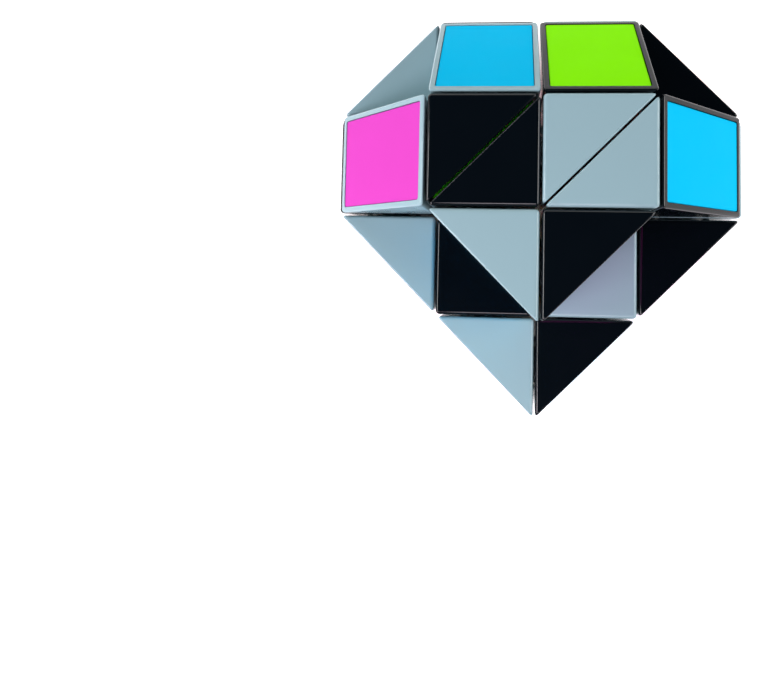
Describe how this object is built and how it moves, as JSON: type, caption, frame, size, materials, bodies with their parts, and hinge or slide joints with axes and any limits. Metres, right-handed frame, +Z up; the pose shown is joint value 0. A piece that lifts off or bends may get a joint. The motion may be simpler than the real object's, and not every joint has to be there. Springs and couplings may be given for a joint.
{
  "type": "folding snake puzzle",
  "caption": "Chain of hollow right-angled wedges joined by spring-loaded swivels, folded flat, with a coloured panel set in the long face of each wedge.",
  "frame": {"origin": "middle of the folded puzzle's bounding box, on the flat faces that it lies on", "axes": "+Z up, out of the flat layer; +Y from the pointed end to the two-panel end; +X to the right seen from above with +Y away"},
  "size_m": [0.0796, 0.0786, 0.0396],
  "materials": {
    "black_plastic": "gloss",
    "grey_plastic": "gloss",
    "cyan_panel": "satin",
    "magenta_panel": "satin",
    "lime_panel": "satin",
    "orange_panel": "satin",
    "steel": "plated"
  },
  "bodies": {
    "wedge_01": {"wedge_01_shell": "black_plastic", "wedge_01_panel": "lime_panel"},
    "wedge_02": {"wedge_02_shell": "grey_plastic", "wedge_02_panel": "magenta_panel", "wedge_02_screws": "steel"},
    "wedge_03": {"wedge_03_shell": "black_plastic", "wedge_03_panel": "orange_panel"},
    "wedge_04": {"wedge_04_shell": "grey_plastic", "wedge_04_panel": "cyan_panel", "wedge_04_screws": "steel"},
    "wedge_05": {"wedge_05_shell": "black_plastic", "wedge_05_panel": "lime_panel"},
    "wedge_06": {"wedge_06_shell": "grey_plastic", "wedge_06_panel": "magenta_panel", "wedge_06_screws": "steel"},
    "wedge_07": {"wedge_07_shell": "black_plastic", "wedge_07_panel": "cyan_panel"},
    "wedge_08": {"wedge_08_shell": "grey_plastic", "wedge_08_panel": "orange_panel", "wedge_08_screws": "steel"},
    "wedge_09": {"wedge_09_shell": "black_plastic", "wedge_09_panel": "lime_panel"},
    "wedge_10": {"wedge_10_shell": "grey_plastic", "wedge_10_panel": "magenta_panel", "wedge_10_screws": "steel"},
    "wedge_11": {"wedge_11_shell": "black_plastic", "wedge_11_panel": "cyan_panel"},
    "wedge_12": {"wedge_12_shell": "grey_plastic", "wedge_12_panel": "orange_panel", "wedge_12_screws": "steel"},
    "wedge_13": {"wedge_13_shell": "black_plastic", "wedge_13_panel": "magenta_panel"},
    "wedge_14": {"wedge_14_shell": "grey_plastic", "wedge_14_panel": "lime_panel", "wedge_14_screws": "steel"},
    "wedge_15": {"wedge_15_shell": "black_plastic", "wedge_15_panel": "cyan_panel"},
    "wedge_16": {"wedge_16_shell": "grey_plastic", "wedge_16_panel": "orange_panel", "wedge_16_screws": "steel"},
    "wedge_17": {"wedge_17_shell": "black_plastic", "wedge_17_panel": "magenta_panel"},
    "wedge_18": {"wedge_18_shell": "grey_plastic", "wedge_18_panel": "cyan_panel", "wedge_18_screws": "steel"},
    "wedge_19": {"wedge_19_shell": "black_plastic", "wedge_19_panel": "lime_panel"},
    "wedge_20": {"wedge_20_shell": "grey_plastic", "wedge_20_panel": "orange_panel", "wedge_20_screws": "steel"},
    "wedge_21": {"wedge_21_shell": "black_plastic", "wedge_21_panel": "lime_panel"},
    "wedge_22": {"wedge_22_shell": "grey_plastic", "wedge_22_panel": "magenta_panel", "wedge_22_screws": "steel"},
    "wedge_23": {"wedge_23_shell": "black_plastic", "wedge_23_panel": "orange_panel"},
    "wedge_24": {"wedge_24_shell": "grey_plastic", "wedge_24_panel": "cyan_panel", "wedge_24_screws": "steel"}
  },
  "joints": [
    {"name": "swivel_01_02", "type": "hinge", "parent": "wedge_02", "child": "wedge_01", "pos_m": [-0.03, 0.01949, 0.0098], "axis": [0, -1, 0], "range_deg": [-90, 0]},
    {"name": "swivel_02_03", "type": "hinge", "parent": "wedge_03", "child": "wedge_02", "pos_m": [-0.02, 0.02949, 0.0098], "axis": [-1, 0, 0], "range_deg": [-270, 0]},
    {"name": "swivel_03_04", "type": "hinge", "parent": "wedge_04", "child": "wedge_03", "pos_m": [-0.01, 0.02949, 0.0198], "axis": [0, 0, 1], "range_deg": [-90, 0]},
    {"name": "swivel_04_05", "type": "hinge", "parent": "wedge_05", "child": "wedge_04", "pos_m": [-0.01, 0.01949, 0.0298], "axis": [0, 1, 0], "range_deg": [-90, 0]},
    {"name": "swivel_05_06", "type": "hinge", "parent": "wedge_06", "child": "wedge_05", "pos_m": [-0.02, 0.00949, 0.0298], "axis": [-1, 0, 0], "range_deg": [-90, 0]},
    {"name": "swivel_06_07", "type": "hinge", "parent": "wedge_07", "child": "wedge_06", "pos_m": [-0.03, 0.00949, 0.0198], "axis": [0, 0, -1], "range_deg": [-90, 0]},
    {"name": "swivel_07_08", "type": "hinge", "parent": "wedge_08", "child": "wedge_07", "pos_m": [-0.03, -0.00051, 0.0098], "axis": [0, 1, 0], "range_deg": [-270, 0]},
    {"name": "swivel_08_09", "type": "hinge", "parent": "wedge_09", "child": "wedge_08", "pos_m": [-0.02, -0.01051, 0.0098], "axis": [-1, 0, 0], "range_deg": [0, 270]},
    {"name": "swivel_09_10", "type": "hinge", "parent": "wedge_10", "child": "wedge_09", "pos_m": [-0.01, -0.02051, 0.0098], "axis": [0, -1, 0], "range_deg": [0, 5]},
    {"name": "swivel_10_11", "type": "hinge", "parent": "wedge_11", "child": "wedge_10", "pos_m": [0, -0.03051, 0.0098], "axis": [1, 0, 0], "range_deg": [-270, 0]},
    {"name": "swivel_11_12", "type": "hinge", "parent": "wedge_12", "child": "wedge_11", "pos_m": [0.01, -0.02051, 0.0098], "axis": [0, -1, 0], "range_deg": [0, 5]},
    {"name": "swivel_12_13", "type": "hinge", "parent": "wedge_12", "child": "wedge_13", "pos_m": [0.02, -0.01051, 0.0098], "axis": [1, 0, 0], "range_deg": [-180, 0]},
    {"name": "swivel_13_14", "type": "hinge", "parent": "wedge_13", "child": "wedge_14", "pos_m": [0.03, -0.00051, 0.0098], "axis": [0, 1, 0], "range_deg": [0, 270]},
    {"name": "swivel_14_15", "type": "hinge", "parent": "wedge_14", "child": "wedge_15", "pos_m": [0.03, 0.00949, 0.0198], "axis": [0, 0, 1], "range_deg": [-0.4, 0.4]},
    {"name": "swivel_15_16", "type": "hinge", "parent": "wedge_15", "child": "wedge_16", "pos_m": [0.02, 0.00949, 0.0298], "axis": [-1, 0, 0], "range_deg": [-180, 0]},
    {"name": "swivel_16_17", "type": "hinge", "parent": "wedge_16", "child": "wedge_17", "pos_m": [0.01, -0.00051, 0.0298], "axis": [0, 1, 0], "range_deg": [0, 1.5]},
    {"name": "swivel_17_18", "type": "hinge", "parent": "wedge_17", "child": "wedge_18", "pos_m": [0, -0.01051, 0.0298], "axis": [-1, 0, 0], "range_deg": [0, 1]},
    {"name": "swivel_18_19", "type": "hinge", "parent": "wedge_18", "child": "wedge_19", "pos_m": [-0.01, -0.00051, 0.0298], "axis": [0, 1, 0], "range_deg": [0, 1.5]},
    {"name": "swivel_19_20", "type": "hinge", "parent": "wedge_19", "child": "wedge_20", "pos_m": [0, 0.00949, 0.0298], "axis": [1, 0, 0], "range_deg": [0, 1.5]},
    {"name": "swivel_20_21", "type": "hinge", "parent": "wedge_20", "child": "wedge_21", "pos_m": [0.01, 0.01949, 0.0298], "axis": [0, 1, 0], "range_deg": [0, 90]},
    {"name": "swivel_21_22", "type": "hinge", "parent": "wedge_21", "child": "wedge_22", "pos_m": [0.01, 0.02949, 0.0198], "axis": [0, 0, -1], "range_deg": [-180, 0]},
    {"name": "swivel_22_23", "type": "hinge", "parent": "wedge_22", "child": "wedge_23", "pos_m": [0.02, 0.02949, 0.0098], "axis": [1, 0, 0], "range_deg": [0, 270]},
    {"name": "swivel_23_24", "type": "hinge", "parent": "wedge_23", "child": "wedge_24", "pos_m": [0.03, 0.01949, 0.0098], "axis": [0, 1, 0], "range_deg": [0, 90]}
  ],
  "couplings": [
    {"joint": "swivel_01_02", "follows": "swivel_10_11", "ratio": 0.33333},
    {"joint": "swivel_03_04", "follows": "swivel_10_11", "ratio": 0.33333},
    {"joint": "swivel_04_05", "follows": "swivel_02_03", "ratio": 0.33333},
    {"joint": "swivel_05_06", "follows": "swivel_10_11", "ratio": 0.33333},
    {"joint": "swivel_06_07", "follows": "swivel_02_03", "ratio": 0.33333},
    {"joint": "swivel_12_13", "follows": "swivel_10_11", "ratio": 0.66667},
    {"joint": "swivel_15_16", "follows": "swivel_10_11", "ratio": 0.66667},
    {"joint": "swivel_20_21", "follows": "swivel_13_14", "ratio": 0.33333},
    {"joint": "swivel_21_22", "follows": "swivel_10_11", "ratio": 0.66667},
    {"joint": "swivel_23_24", "follows": "swivel_13_14", "ratio": 0.33333}
  ]
}
